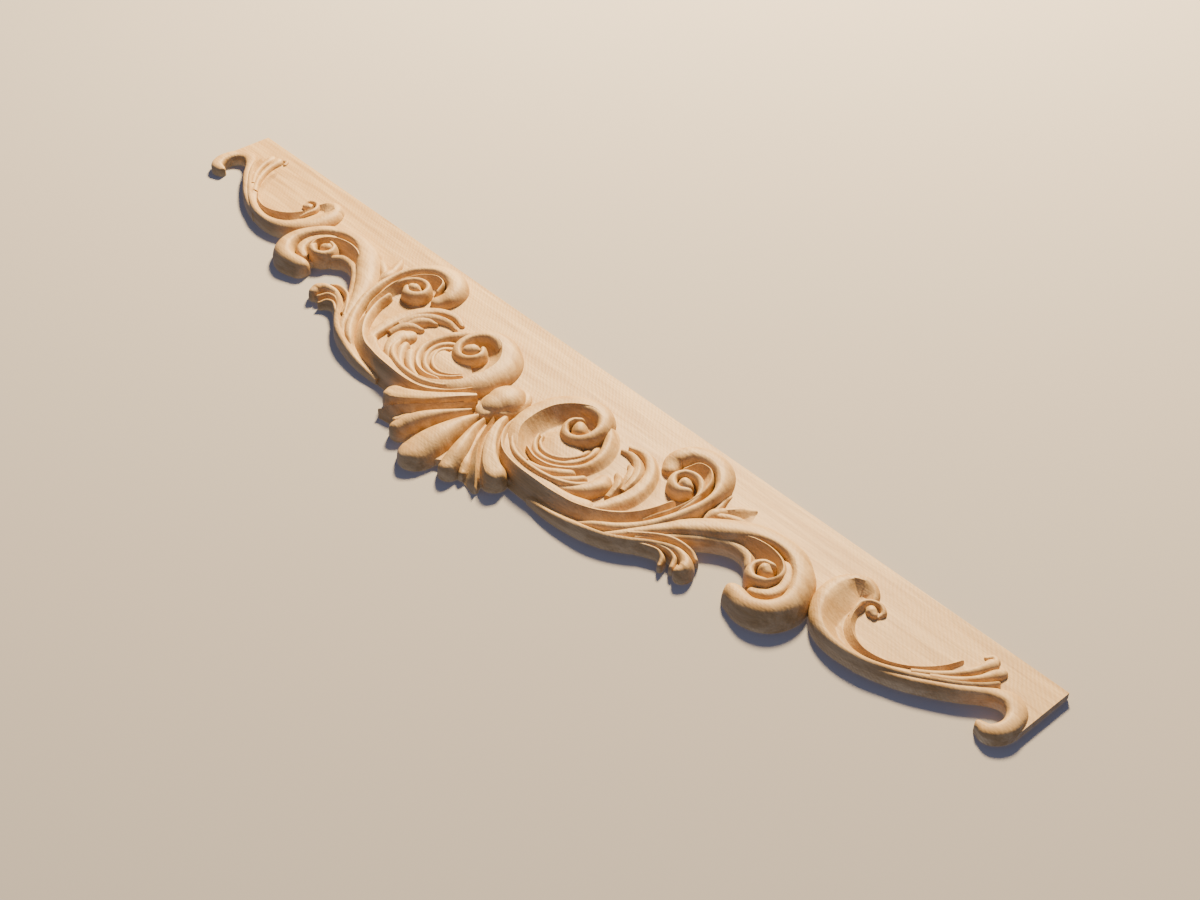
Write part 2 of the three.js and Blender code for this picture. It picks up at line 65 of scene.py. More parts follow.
camera_data = bpy.data.cameras.new("camera")
camera_data.lens = focal_length
camera_data.sensor_width = sensor_width
camera_data.clip_start = nearest_seen
camera_data.clip_end = farthest_seen
camera = bpy.data.objects.new("camera", camera_data)
bpy.context.collection.objects.link(camera)
camera_up = camera_right.cross(camera_forward).normalized()
camera_right = camera_forward.cross(camera_up)
camera_axes = Matrix((camera_right, camera_up, -camera_forward)).transposed()
camera.matrix_world = Matrix.Translation(camera_place) @ camera_axes.to_4x4()
bpy.context.scene.camera = camera

# Carved pediment: a thin board of pale hardwood, sawn to a scrolled outline, with the shell,
# volutes, leaves and end scrolls carved on it. Each stroke of the gouge is a ridge swept along
# a smooth curve, and all the strokes are joined to the board in one closed surface.
millimetre = 0.001
board_half_width = 500.0
board_end_height = 56.0
board_thickness = 6.0
back_mount_height = 60.0

# Depths below the board's face where a flank ends, and where the underside of a stroke lies
foot_depth = 0.5
edge_left_at_back = 0.5
whole_foot_depth = board_thickness - edge_left_at_back
buried_depth = board_thickness / 2

# Spacing of a stroke's sections: along its line, by its turning, and round its tip
path_step = 1.0
section_spacing = 3.0
section_turn = math.radians(5)
tip_angles = [math.radians(t) for t in (18, 34, 48, 60, 70, 78, 85)]

# Flank shapes: the share of a ridge's height left at a share q of the way out to its foot
full_power, cliff_power, hollow_power, slope_power = 2.4, 6, 1.7, 1.2
shoulder_start, shoulder_width, shoulder_fall, shoulder_power = 0.55, 0.45, 0.6, 1.6
flanks = {
    "full": lambda q: math.sqrt(max(0.0, 1 - q ** full_power)),
    "cliff": lambda q: math.sqrt(max(0.0, 1 - q ** cliff_power)),
    "soft": lambda q: 0.5 + 0.5 * math.cos(math.pi * q),
    "hollow": lambda q: (1 - q) ** hollow_power,
    "slope": lambda q: (1 - q) ** slope_power,
    "shoulder": lambda q: 1 - shoulder_fall * max(
        0.0, (q - shoulder_start) / shoulder_width) ** shoulder_power,
}

# A flank has its points at the sines of these angles, so they crowd towards its foot
flank_shares = [math.sin(math.radians(t)) for t in (84, 75, 64, 52, 40, 27, 13)]


# Drawing coordinates in millimetres: x from the middle, y up from the straight edge, and h out
# from the board's face
def place(x, y, h):
    return Vector((x, -(board_thickness + h), y - back_mount_height)) * millimetre


# A cubic curve through the stations in small steps. Every value of a station, its place,
# ridge height and two widths, changes smoothly along it.
def smooth_stations(stations, step):
    knots = [0.0]
    for (x0, y0, *_), (x1, y1, *_) in zip(stations, stations[1:]):
        knots.append(knots[-1] + math.sqrt(math.hypot(x1 - x0, y1 - y0)))
    last = len(stations) - 1

    def slope(i, k):
        return (stations[i + 1][k] - stations[i][k]) / (knots[i + 1] - knots[i])

    def tangent(i, k):
        if i == 0:
            return slope(0, k)
        if i == last:
            return slope(last - 1, k)
        before, after = knots[i] - knots[i - 1], knots[i + 1] - knots[i]
        return (slope(i - 1, k) * after + slope(i, k) * before) / (before + after)

    path = []
    for i in range(last):
        span = knots[i + 1] - knots[i]
        length = span * span
        count = max(2, math.ceil(length / step))
        for n in range(count):
            u = n / count
            start_share = 2 * u ** 3 - 3 * u ** 2 + 1
            start_pull = u ** 3 - 2 * u ** 2 + u
            end_share = 3 * u ** 2 - 2 * u ** 3
            end_pull = u ** 3 - u ** 2
            path.append([start_share * stations[i][k] + start_pull * span * tangent(i, k)
                         + end_share * stations[i + 1][k] + end_pull * span * tangent(i + 1, k)
                         for k in range(len(stations[i]))])
    path.append(list(stations[last]))
    return path


# The places along a stroke where it gets a section: closer where it turns, and round its tip
def spaced_sections(stations):
    path = smooth_stations(stations, path_step)
    headed = []
    for i, station in enumerate(path):
        before, after = path[max(i - 1, 0)], path[min(i + 1, len(path) - 1)]
        heading = Vector((after[0] - before[0], after[1] - before[1])).normalized()
        headed.append((station, heading))
    kept = [headed[0]]
    turn = run = 0.0
    for (station, heading), (previous, previous_heading) in zip(headed[1:], headed):
        turn += heading.angle(previous_heading, 0.0)
        run += math.hypot(station[0] - previous[0], station[1] - previous[1])
        if station is path[-1] or turn > section_turn or run > section_spacing:
            kept.append((station, heading))
            turn = run = 0.0
    (x, y, ridge, right, left), heading = kept[-1]
    radius = (right + left) / 2
    for angle in tip_angles:
        share, out = math.cos(angle), radius * math.sin(angle)
        kept.append(([x + heading.x * out, y + heading.y * out, ridge * math.sqrt(share),
                      right * share, left * share], heading))
    return kept


# One ring of points round each section: over the ridge from foot to foot, then the underside
def stroke_rings(right_flank, left_flank, depth, stations):
    underside = -buried_depth if depth == "on face" else -board_thickness
    sink = whole_foot_depth if depth == "whole" else foot_depth
    rings = []
    for (x, y, ridge, right, left), heading in spaced_sections(stations):
        def point(side, h):
            return x + heading.y * side, y - heading.x * side, h
        rise = ridge + sink
        ring = [point(right * q, rise * flanks[right_flank](q) - sink) for q in [1.0, *flank_shares]]
        ring.append(point(0, ridge))
        ring += [point(-left * q, rise * flanks[left_flank](q) - sink)
                 for q in [*reversed(flank_shares), 1.0]]
        rings.append([*ring, point(-left, underside), point(right, underside)])
    return rings


def solid_object(name, rings, side):
    bm = bmesh.new()
    made = [[bm.verts.new(place(side * x, y, h)) for x, y, h in ring] for ring in rings]
    count = len(rings[0])
    for ring, following in zip(made, made[1:]):
        for j in range(count):
            k = (j + 1) % count
            bm.faces.new((ring[j], ring[k], following[k], following[j]))
    bm.faces.new(made[0])
    bm.faces.new(made[-1])
    bmesh.ops.recalc_face_normals(bm, faces=bm.faces)
    bmesh.ops.triangulate(bm, faces=bm.faces)
    mesh = bpy.data.meshes.new(name)
    bm.to_mesh(mesh)
    bm.free()
    return bpy.data.objects.new(name, mesh)


stroke_collection = bpy.data.collections.new("strokes")
bpy.context.scene.collection.children.link(stroke_collection)


# Stations are [x, y, ridge height, width of the right flank, width of the left flank]. A stroke
# off the middle line is cut again, mirrored, on the other half. Its depth is "on face" (rooted
# in the board), "through" (a straight wall to the back) or "whole" (flanks that run to the back).
def carve(name, right_flank, left_flank, depth, stations):
    rings = stroke_rings(right_flank, left_flank, depth, stations)
    stroke_collection.objects.link(solid_object(name, rings, 1))
    if any(x != 0 for x, *_ in stations):
        stroke_collection.objects.link(solid_object(name, rings, -1))


# Shell: lobes that fan out above the cabochon, with hollow webs and a sharp crest between
# them. They overhang the board, so their flanks run down to the back.
carve("middle lobe", "full", "full", "whole", [
    [0, 118, 5, 2, 2], [0, 130, 9, 6, 6], [0, 146, 11.5, 11, 11], [0, 160, 12, 14.5, 14.5],
    [0, 172, 11, 16.5, 16.5], [0, 183, 8.5, 16.5, 16.5],
])
carve("second lobe", "full", "full", "whole", [
    [8, 121, 7, 2.5, 2.5], [12.5, 133, 9.8, 4.5, 4.5], [19, 146, 11.6, 7, 7], [26, 160, 12, 9, 9.5],
    [30.5, 170, 10.4, 9.5, 10.5], [32.5, 175.5, 8, 9, 10],
])
carve("inner web", "full", "full", "whole", [
    [14, 124, 5, 3, 3], [23, 142, 5.4, 5, 5], [32, 156, 5, 6, 6], [40, 166, 4.5, 6, 6],
    [43, 170, 2.5, 5, 5],
])
carve("outer web", "full", "full", "whole", [
    [20, 120, 6.5, 3, 3], [32, 138.5, 8, 5, 5], [43.5, 151, 7.4, 6, 6], [54, 160.5, 5, 6, 6],
    [58.5, 164, 3, 5, 5],
])
carve("third lobe crest", "slope", "slope", "whole", [
    [12, 114, 7.5, 3, 4], [21.5, 130, 9.8, 4.5, 8], [29, 141.5, 10.4, 5.5, 11],
    [38, 151.5, 10.2, 6, 13], [48.5, 161, 8.6, 6, 13], [56.5, 168, 6, 5, 9], [62, 173, 2, 2.5, 4],
])
carve("outer lobe", "shoulder", "shoulder", "whole", [
    [19, 107, 8, 3, 2.5], [23, 116, 10.5, 4.5, 4], [30, 127.5, 12, 6, 5.5], [39, 138.5, 12.4, 7, 7],
    [50, 148, 12.2, 8, 8.5], [59, 153.5, 11.4, 9, 10.5], [65.5, 156, 10.4, 10.5, 11.5],
])
carve("cabochon plate", "cliff", "cliff", "on face", [
    [0, 71, 4, 9, 9], [0, 77, 5, 14.5, 14.5], [0, 86, 5.8, 18, 18], [0, 95, 6.2, 18.6, 18.6],
    [0, 103, 7.2, 17, 17], [0, 108, 8.4, 14, 14], [0, 111, 8.8, 10.5, 10.5],
])
carve("cabochon dome", "full", "full", "on face", [
    [0, 74, 7, 6, 6], [0, 79, 11, 12, 12], [0, 87, 13.6, 16.6, 16.6], [0, 95, 14, 16.8, 16.8],
    [0, 102, 13.4, 14, 14],
])

# Large volute: a hollow bowl rolled in to a ribbon and an eye, under a ribbed stem that runs
# along the board's edge, with a loop of fine strands beside the bowl.
carve("volute bowl", "full", "hollow", "on face", [
    [72, 128, 8.6, 5, 8], [60, 126, 10.6, 8, 11], [49, 118.5, 11.6, 11, 13],
    [40, 107.5, 12, 14, 14], [36.5, 94.5, 12, 17, 14.5], [36, 80.5, 12, 18, 15],
    [39, 68, 12, 19, 15], [48, 56.5, 12.2, 18, 14], [61, 49, 12.4, 15, 13],
    [73, 50.5, 12.2, 12, 10], [80.5, 57.5, 11.8, 9, 6],
])
carve("volute floor", "cliff", "soft", "on face", [
    [60, 82, 3, 14, 16], [66, 92, 3.4, 21, 22], [75, 98, 3.6, 22, 22], [84, 99, 3.6, 16, 18],
])
carve("volute ribbon", "full", "full", "on face", [
    [52, 52.5, 11.5, 4, 6], [62, 49, 12.2, 5, 6], [73, 50.5, 12.2, 8, 5.5],
    [80.5, 57.5, 11.8, 8.5, 5], [83.3, 66.5, 11.3, 7.5, 4.2], [82, 75.5, 10.4, 7, 3.6],
    [77.5, 81, 9.6, 6.5, 3.3], [71, 83.5, 9.2, 6, 3.2], [64, 81.3, 9.4, 5.5, 3],
    [59.8, 76, 10, 5, 2.8], [60, 69.5, 10.4, 5, 2.8], [64, 65.3, 10.6, 4.5, 3],
])
carve("volute eye", "full", "full", "on face", [
    [64.8, 66, 7, 2, 2], [67, 68.5, 10.8, 5.5, 5.5], [70.5, 72, 12, 8, 8],
    [71.5, 73, 11.4, 7.4, 7.4],
])
carve("stem body", "cliff", "full", "on face", [
    [30, 111, 7, 5, 7], [45, 129, 9, 8, 9], [68, 138, 9.4, 11, 9], [92, 139.5, 9.4, 11, 9],
    [112, 138, 8.6, 9, 9], [128, 133.5, 8, 7, 9], [141, 127, 7.6, 6, 9],
])
carve("stem ridge a", "full", "full", "on face", [
    [38, 113, 10.5, 4, 3.5], [48, 124, 11.4, 4, 3.5], [60, 131, 12, 4.5, 3.5],
    [72, 133.3, 12.2, 4.5, 3.5], [85, 133.4, 12.2, 4.5, 3.5], [97, 131.5, 11.6, 4.5, 3.5],
    [109, 127, 10.6, 4.5, 3.5], [119, 119, 9, 4, 4], [124, 109, 7, 3, 3],
])
carve("stem ridge b", "full", "slope", "whole", [
    [27, 105, 9.5, 4, 3.5], [31, 116, 11, 4, 4], [39, 127, 11.6, 4.5, 5.5], [50, 136, 12, 4, 8],
    [63, 140.5, 12.4, 4, 9], [79, 142, 12.4, 4, 9.5], [96, 141.5, 12.2, 4, 10],
    [112, 140.5, 11.8, 4, 11], [125, 138.5, 11.4, 4.5, 13], [135, 136.5, 11, 5, 14],
    [148, 130.5, 10, 5, 15], [159, 122.5, 9, 5, 15], [168.5, 113, 8.6, 5, 14],
    [176, 101.5, 8.6, 5, 13], [181, 90, 9, 4, 12], [183.5, 79, 9, 3.5, 8],
])
carve("ring strand 4", "soft", "full", "on face", [
    [72, 46, 5, 4, 4], [88, 54, 6.6, 8, 6], [99.5, 67, 6.8, 10, 6], [106, 83, 6.4, 10, 5],
    [105.5, 98, 6.2, 8, 4.5], [98, 110, 6.2, 5, 4.5], [86, 118.5, 6.6, 4, 4],
    [72, 121, 7.4, 3.5, 3.5], [60, 118, 8, 3, 3],
])
carve("ring strand 3", "full", "full", "on face", [
    [91, 70, 0.5, 2, 2], [95, 77, 3.8, 3, 3], [98.5, 87, 5, 3, 3], [97, 98, 5.2, 3, 3],
    [89, 108.5, 5.2, 3, 3], [77, 114, 5.4, 3, 3], [65, 113.5, 5.6, 3, 3], [56, 107, 5.8, 2.5, 2.5],
    [51, 99, 5.4, 2, 2],
])
carve("ring strand 2", "full", "full", "on face", [
    [90, 77, 0.5, 2, 2], [92, 84, 3.6, 2.5, 2.5], [92.5, 92, 4.6, 2.5, 2.5],
    [87, 101.5, 4.8, 2.5, 2.5], [78, 107.5, 4.8, 2.5, 2.5], [68, 108.5, 5, 2.5, 2.5],
    [59, 104, 5, 2, 2], [54, 97, 4.4, 1.5, 1.5],
])

# Leaf beside the volute: three lobes out of the stem and a fan of four hooked fronds
carve("leaf lobe 1", "full", "full", "on face", [
    [72, 128, 6.6, 3, 3], [86, 125, 7, 4, 4], [98, 118, 7.8, 5, 5], [104.5, 112, 7.6, 5, 5],
])
carve("leaf lobe 2", "full", "full", "on face", [
    [88, 131, 6, 3, 3], [102, 125, 7, 4, 4], [112.5, 115.5, 8, 5, 5], [116, 109, 7.4, 4.5, 4.5],
])
carve("leaf lobe 3", "full", "full", "on face", [
    [104, 132, 6.6, 4, 4], [118, 125, 7.6, 6, 5], [127.5, 113.5, 8.2, 8.5, 7],
    [129.5, 102.5, 7.8, 9, 8], [127.5, 98, 6, 8.5, 8],
])
carve("hook 1", "cliff", "soft", "on face", [
    [117.5, 142, 5.8, 4, 4], [133.5, 136, 6.2, 5, 6], [147.5, 124, 6.2, 6, 8],
    [153.5, 108.5, 5.8, 8, 9], [157, 92.5, 5.4, 10, 8], [154.5, 76.5, 5.2, 9.5, 7],
    [147, 62, 5.2, 7.5, 6], [135, 51.5, 5, 6.5, 5], [121, 47.5, 4, 5.5, 4], [110, 51, 2.6, 3.5, 2],
])
carve("hook 2", "full", "soft", "on face", [
    [147, 93.5, 5.4, 6, 5], [145.5, 80.5, 7, 7, 5], [138.5, 68, 6.6, 6.5, 5],
    [128, 60, 5.4, 5.5, 4], [117, 57.5, 4.2, 4.5, 3.5], [109, 59.5, 3, 2.5, 2],
])
carve("hook 3", "full", "soft", "on face", [
    [143, 92, 4, 5, 4], [139.5, 79, 6.6, 6.5, 4], [133, 70.5, 5.4, 5.5, 3.5], [127, 68, 3.4, 3, 2],
])
carve("hook 4", "full", "soft", "on face", [
    [144, 106, 4, 5, 4], [142, 93.5, 7, 7, 4], [135.5, 85.5, 6, 6, 4], [128.5, 82.5, 3.8, 3.5, 2.5],
])

# Upper volute: a roll that turns over to a fat end, with its own bowl, ring and eye
carve("upper roll", "full", "full", "on face", [
    [148, 142.5, 2, 2, 2], [159.5, 137, 6.8, 4, 4], [175.5, 124, 7.6, 5, 5],
    [187.5, 108.5, 8.4, 5, 5.5], [195.5, 92.5, 10.2, 5, 5.5], [199.5, 76.5, 11, 4.5, 6],
    [201.5, 60, 11, 4, 5.5], [200, 46, 11.6, 4.5, 6.5], [193, 33, 11.8, 5, 9.5],
    [181, 24, 12.2, 5, 14], [166, 22, 12, 6.5, 15], [153.5, 27, 11.6, 8, 13],
    [147.5, 38, 9.8, 9.5, 10], [150.5, 46, 6.4, 8, 8],
])
carve("upper bowl", "hollow", "full", "on face", [
    [180, 104, 4, 2, 2], [184.5, 96, 7.2, 5, 3], [190, 80.5, 8.4, 6, 2.5], [193, 64, 9.8, 7, 2.5],
    [191.5, 50, 10, 8, 2.5], [186, 37, 9.8, 9, 2.5], [176, 29, 9.6, 9, 2.5],
    [166, 30.5, 9.2, 7, 2.5], [161.5, 40, 7.2, 5, 2.5],
])
carve("upper ring", "full", "full", "on face", [
    [191, 86, 4, 2, 2], [193, 76, 7.4, 3.5, 3], [194, 64, 9.2, 3.5, 3.5], [190.5, 52, 10, 4, 3.5],
    [183, 44.5, 10.8, 4.5, 3.5], [174.5, 42.5, 11, 4.5, 3.5], [166.5, 46, 11, 4, 4],
    [164, 54, 10.8, 3.5, 5.5], [168.5, 60.5, 10.6, 3.5, 6.5], [176, 62, 10.2, 3.5, 6.5],
    [182, 58, 9.6, 3, 5],
])
carve("upper eye", "full", "full", "on face", [
    [169, 52, 7, 2, 2], [171.5, 53, 10.8, 5, 5], [175, 54.5, 12.4, 6.8, 6.8],
    [177.5, 55, 11.8, 6, 6],
])

# Sprout: three small leaves where the upper volute and the far scroll part
carve("sprout body", "full", "full", "on face", [
    [211.5, 68.5, 4, 3, 3], [212, 62, 7.4, 5.5, 5.5], [213.5, 56, 7.4, 6, 6],
    [214.5, 53, 6, 5.5, 5.5],
])
carve("sprout left", "full", "full", "on face", [
    [211, 58, 5.6, 3, 3], [208, 48, 4.4, 3, 3], [205, 40, 3.4, 2.5, 2.5], [204, 33, 1.2, 1.5, 1.5],
])
carve("sprout middle", "full", "slope", "on face", [
    [213, 58, 6, 5, 5], [217, 48, 5.2, 5, 8.5], [223, 39, 4, 5, 8], [227.5, 33, 2.2, 3.5, 5],
])
carve("sprout right", "full", "full", "on face", [
    [213, 61, 6.2, 4, 4], [223, 54.5, 6.8, 5, 5], [233, 50, 6.2, 4.5, 4.5],
    [239, 48.5, 4, 2.5, 2.5],
])

# Far scroll: a broad roll that ends in a fat drop round a small coil, with a crescent and a
# leaf inside it. It overhangs the board.
carve("far roll", "full", "full", "through", [
    [167, 138, 2, 2, 2], [177.5, 132, 5.8, 4, 4], [189.5, 116, 7.6, 6, 5],
    [201.5, 99.5, 8.8, 10, 6], [212.5, 86.5, 10.2, 13, 8], [225.5, 74.5, 11, 15, 9],
    [239.5, 64, 12, 16, 9], [253.5, 56, 11.8, 17, 6], [269.5, 51, 11.8, 15, 4],
    [286.5, 52, 12, 14.5, 4.5], [298, 58, 12.2, 13, 5.5], [307, 66.5, 10.5, 10, 5],
])
carve("far drop", "full", "full", "whole", [
    [279, 51.5, 7, 6, 3], [289, 53, 11.4, 13, 4.6], [300, 59.5, 12.5, 14.6, 6],
    [310.5, 72.5, 12.4, 14.3, 7], [315.5, 88, 12, 14, 8], [310.5, 102, 11.8, 13.5, 8.6],
    [298.5, 109, 10.8, 11.3, 9.6], [282.5, 106.5, 8.6, 10, 9.5],
])
carve("far bowl", "full", "hollow", "through", [
    [245.5, 64.5, 10, 3, 9], [257.5, 59.5, 10.4, 3, 10], [271.5, 58, 10.4, 3, 10],
    [285.5, 61.5, 10.4, 3.5, 8], [293.5, 68.5, 10.6, 4, 6], [295.5, 77.5, 11.2, 4, 4.5],
    [291, 86, 11, 5, 4], [286, 87.8, 10, 4, 3.5],
])
carve("far coil", "full", "full", "through", [
    [295.5, 78.5, 8, 2, 2], [291, 86, 11.4, 5, 4], [283, 88.5, 11, 5, 4], [276, 84.5, 10.4, 5, 4],
    [274, 77.5, 10.2, 5, 3.5], [277.5, 71, 10.2, 4, 3.5], [284.5, 69.5, 10.6, 3.5, 3],
])
carve("far eye", "full", "full", "on face", [
    [275.5, 74, 5, 2, 2], [278.5, 74.5, 9.8, 5.5, 5.5], [281.5, 75, 11.2, 7, 7],
    [284, 76, 10.4, 6.2, 6.2],
])
carve("far crescent", "full", "cliff", "on face", [
    [285, 57.5, 6, 3, 3], [291, 60, 8.6, 4, 4.5], [299.5, 67, 9, 5, 6], [305, 79.5, 8.8, 5, 6.5],
    [302.5, 91, 8.4, 5, 6.5], [296, 96, 7.8, 4, 5.5], [290, 97.2, 6.4, 3.5, 4.5],
])
carve("far leaf", "hollow", "full", "through", [
    [191.5, 122, 5.6, 3, 3], [201.5, 109, 6, 4, 4], [211.5, 97.5, 5.8, 6, 4.5],
    [222.5, 87, 6.2, 7, 5], [233.5, 78, 6, 8, 5], [244.5, 72, 6, 8, 5], [254.5, 69.5, 6, 7, 6],
    [263.5, 71.5, 6.6, 6, 6], [269.5, 77.5, 6.2, 5, 5],
])

# Tendrils: four strands along the board's edge that curl over beside the far scroll
carve("tendril 1", "full", "full", "whole", [
    [185.5, 124, 7.2, 3, 3], [199.5, 111, 7.4, 3, 3], [209.5, 103.5, 6.8, 3, 3],
    [220.5, 100.5, 6.4, 3, 3], [230.5, 100, 4.4, 3, 3], [236.5, 102, 2.4, 2.5, 2.5],
])
carve("tendril 2", "slope", "full", "through", [
    [100, 150.5, -0.5, 4, 2], [114, 150.8, 2, 5, 2.5], [129, 150, 3.8, 8, 3],
    [146, 147.3, 5.4, 10, 3.5], [160, 143.6, 6.8, 10, 4], [175, 137.5, 7, 8, 4.5],
    [190, 127.8, 7, 5, 4.5], [204.5, 115.8, 6.6, 4, 4], [220.5, 107, 6, 4, 4.5],
    [228, 107, 4.6, 4, 4],
])
carve("tendril 2 bulb", "full", "full", "whole", [
    [212, 110.5, 3, 2.5, 2.5], [221, 107.6, 5.8, 4, 4], [230.5, 108.3, 6.6, 5, 5.5],
    [237.3, 111.8, 7, 6.2, 6.4], [239.4, 116.5, 6.8, 7, 7], [239, 118.5, 6, 6.8, 6.8],
])
carve("tendril 3", "full", "full", "whole", [
    [195.5, 123.5, 5.6, 2.5, 2.5], [206.5, 116.5, 5.6, 2.5, 2.5], [217.5, 112.5, 5, 2.5, 2.5],
    [226.5, 114, 4, 3, 3], [230.5, 120, 2.6, 3, 3],
])
carve("tendril 4", "full", "full", "whole", [
    [193.5, 127, 5.2, 2.5, 2.5], [203.5, 121.5, 5.2, 2.5, 2.5], [212.5, 118, 4.6, 2.5, 2.5],
    [219.5, 120, 3.6, 3, 3], [222.5, 125, 1.6, 2.5, 2.5],
])

# End scroll: an open leaf with its rim, a small curl, two fronds, and the curl at the
# board's square end
carve("end leaf tip", "slope", "full", "on face", [
    [354.5, 38.5, 3.4, 4, 3], [349.5, 31, 5.2, 9, 5], [340.5, 28.5, 7, 13, 8],
    [334.5, 31.5, 8, 12, 9],
])
carve("end leaf", "slope", "full", "through", [
    [334, 29.5, 5, 3, 3], [332.3, 33, 7.6, 10, 9], [330.6, 38.5, 8.4, 17, 11],
    [329.5, 44.5, 8.8, 20, 12], [330.5, 57.5, 8.8, 20, 12], [335.5, 70.5, 8.6, 17, 10],
    [344, 81, 8, 14, 8], [356.5, 87.5, 7.4, 11, 5.5], [370, 89.5, 7.2, 10, 4], [387, 87, 7, 8.5, 4],
    [403, 81, 6.8, 7.5, 4], [419, 72.5, 6.6, 6, 4], [435, 62, 6.6, 6, 4], [449, 51, 6.4, 5.5, 4],
    [458, 41, 5.8, 4.5, 4], [462.5, 33, 4.6, 3.5, 3.5],
])
carve("end inner rim", "slope", "slope", "on face", [
    [352.2, 40.5, 3, 2, 2], [352.5, 44.5, 4.8, 3, 3], [352.5, 54, 5, 3.5, 4.5],
    [358, 65.5, 5.4, 4, 5.5], [368, 74, 5.6, 4, 5.5], [382, 78.5, 5.6, 4, 5],
    [397, 76.5, 5.4, 4, 4.5], [411, 68.5, 4.6, 4, 4], [422, 57, 3.8, 4, 3.5],
    [429.5, 45, 3.2, 3.5, 3], [433, 35, 2.6, 3.5, 3],
])
carve("end curl leaf", "full", "full", "on face", [
    [352, 60, 2, 1.5, 1.5], [350.5, 52.5, 4, 2.5, 2.5], [349.5, 44.5, 4.8, 2.5, 2.5],
    [353.5, 38.5, 4.8, 2.5, 2.5], [360.5, 36, 4.2, 2.5, 2.5], [366.5, 39.5, 3.4, 2.5, 2.5],
    [366, 44.5, 1.8, 2, 2],
])
carve("end curl knob", "full", "full", "on face", [
    [356.5, 42.5, 4, 4, 4], [360, 45, 5, 4.5, 4.5], [362.5, 46, 4, 3.5, 3.5],
])
carve("end body", "soft", "cliff", "on face", [
    [346, 64, -0.5, 4, 4], [355, 77, 1.2, 7, 7], [374, 84.5, 2.6, 6, 7], [399, 80, 4, 7, 7],
    [424, 66, 4.6, 8, 8], [444, 53, 4.4, 8, 8],
])
carve("end frond 2", "full", "full", "on face", [
    [417, 69, 5, 3.5, 3.5], [430.5, 57, 5, 3.5, 3.5], [440, 44.5, 4.6, 3.5, 3.5],
    [446, 32.5, 4.4, 4, 4], [449.5, 21, 4.8, 5.5, 5.5],
])
carve("end frond 2 hook", "full", "full", "on face", [
    [448.5, 22.5, 3, 3, 3], [449.5, 15.5, 2.8, 3, 3], [445.5, 13.5, 2.2, 2.5, 2.5],
    [442.5, 17.5, 1.8, 2, 2],
])
carve("end frond 3", "full", "full", "on face", [
    [429, 63, 5.4, 3.5, 3.5], [443, 51, 5, 3.5, 3.5], [452.5, 37.5, 4.6, 3.5, 3.5],
    [457, 27, 4.8, 5, 5], [459, 22, 3.8, 4.5, 4.5],
])
carve("end curl", "full", "full", "through", [
    [384, 89, 4.8, 3, 3.5], [402, 84, 4.8, 3, 3.5], [419, 76.5, 5.2, 3, 4],
    [435, 66.5, 5.6, 3, 4.5], [449, 56.5, 5.6, 3.5, 5], [460, 47, 5.4, 4, 5], [469, 41, 4.8, 7, 5],
    [478, 39, 4.8, 10, 5], [486, 43, 5, 10, 5], [490, 51, 5.2, 9, 5], [490, 60, 5, 9, 5],
    [485, 67, 4.4, 8, 4], [478, 68, 2.8, 5, 3],
])

# The sawn board behind the carving. Its scrolled edge, from the end to the middle, lies just
# inside the strokes that overhang it.
scrolled_edge = [
    [492, 62], [488, 50], [478, 42], [462, 45], [436, 63], [404, 81], [371, 87], [345, 79], [330, 66],
    [322, 76], [316, 92], [300, 107], [284, 104], [280, 90], [270, 80], [258, 71], [240, 76], [222, 89],
    [206, 104], [222, 103], [236, 108], [238, 118], [228, 117], [214, 114], [198, 126], [180, 135],
    [164, 141], [146, 144], [110, 146], [84, 145], [72, 152], [56, 157], [40, 162], [28, 169],
    [18, 176], [6, 186],
]
half_outline = [[board_half_width, 0], [board_half_width, board_end_height], *scrolled_edge]
outline = half_outline + [[-x, y] for x, y in reversed(half_outline)]
board_mesh = bpy.data.meshes.new("carved_shell_pediment")
bm = bmesh.new()
front = [bm.verts.new(place(x, y, 0)) for x, y in outline]
back = [bm.verts.new(place(x, y, -board_thickness)) for x, y in outline]
bm.faces.new(front)
bm.faces.new(back)
for i in range(len(outline)):
    k = (i + 1) % len(outline)
    bm.faces.new((front[i], front[k], back[k], back[i]))
bmesh.ops.recalc_face_normals(bm, faces=bm.faces)
bmesh.ops.triangulate(bm, faces=bm.faces)
bm.to_mesh(board_mesh)
bm.free()
pediment = bpy.data.objects.new("carved_shell_pediment", board_mesh)
bpy.context.collection.objects.link(pediment)

# Board and strokes become one closed surface, and the strokes on their own are taken away
joining = pediment.modifiers.new("joined strokes", "BOOLEAN")
joining.operation = "UNION"
joining.operand_type = "COLLECTION"
joining.collection = stroke_collection
joining.solver = "MANIFOLD"
bpy.context.view_layer.update()
joined_mesh = bpy.data.meshes.new_from_object(
    pediment.evaluated_get(bpy.context.evaluated_depsgraph_get()))
pediment.modifiers.clear()
pediment.data = joined_mesh
for stroke in list(stroke_collection.objects):
    bpy.data.objects.remove(stroke)
bpy.data.collections.remove(stroke_collection)
joined_mesh.name = "carved_shell_pediment"
joined_mesh.materials.clear()

# Where two faces meet at more than this angle, the tool left an edge
cut_edge_angle = math.radians(38)
for polygon in joined_mesh.polygons:
    polygon.use_smooth = True
joined_mesh.set_sharp_from_angle(angle=cut_edge_angle)
print("pediment triangles", sum(len(p.vertices) - 2 for p in joined_mesh.polygons))
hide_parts("carved_pediment")
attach(pediment, "root")

# Wood: pale bare hardwood with its grain along the board. Growth layers give the eye broad warm
# and pale streaks, fibres and pores a fine dark grain, and the gouge faint slanting marks.
# All are solid patterns in the block, so the carving cuts through them as it does in wood.
dark_layer_colour, dark_layer_end = "#b08a50", 0.36
pale_layer_colour, pale_layer_start = "#caa870", 0.63

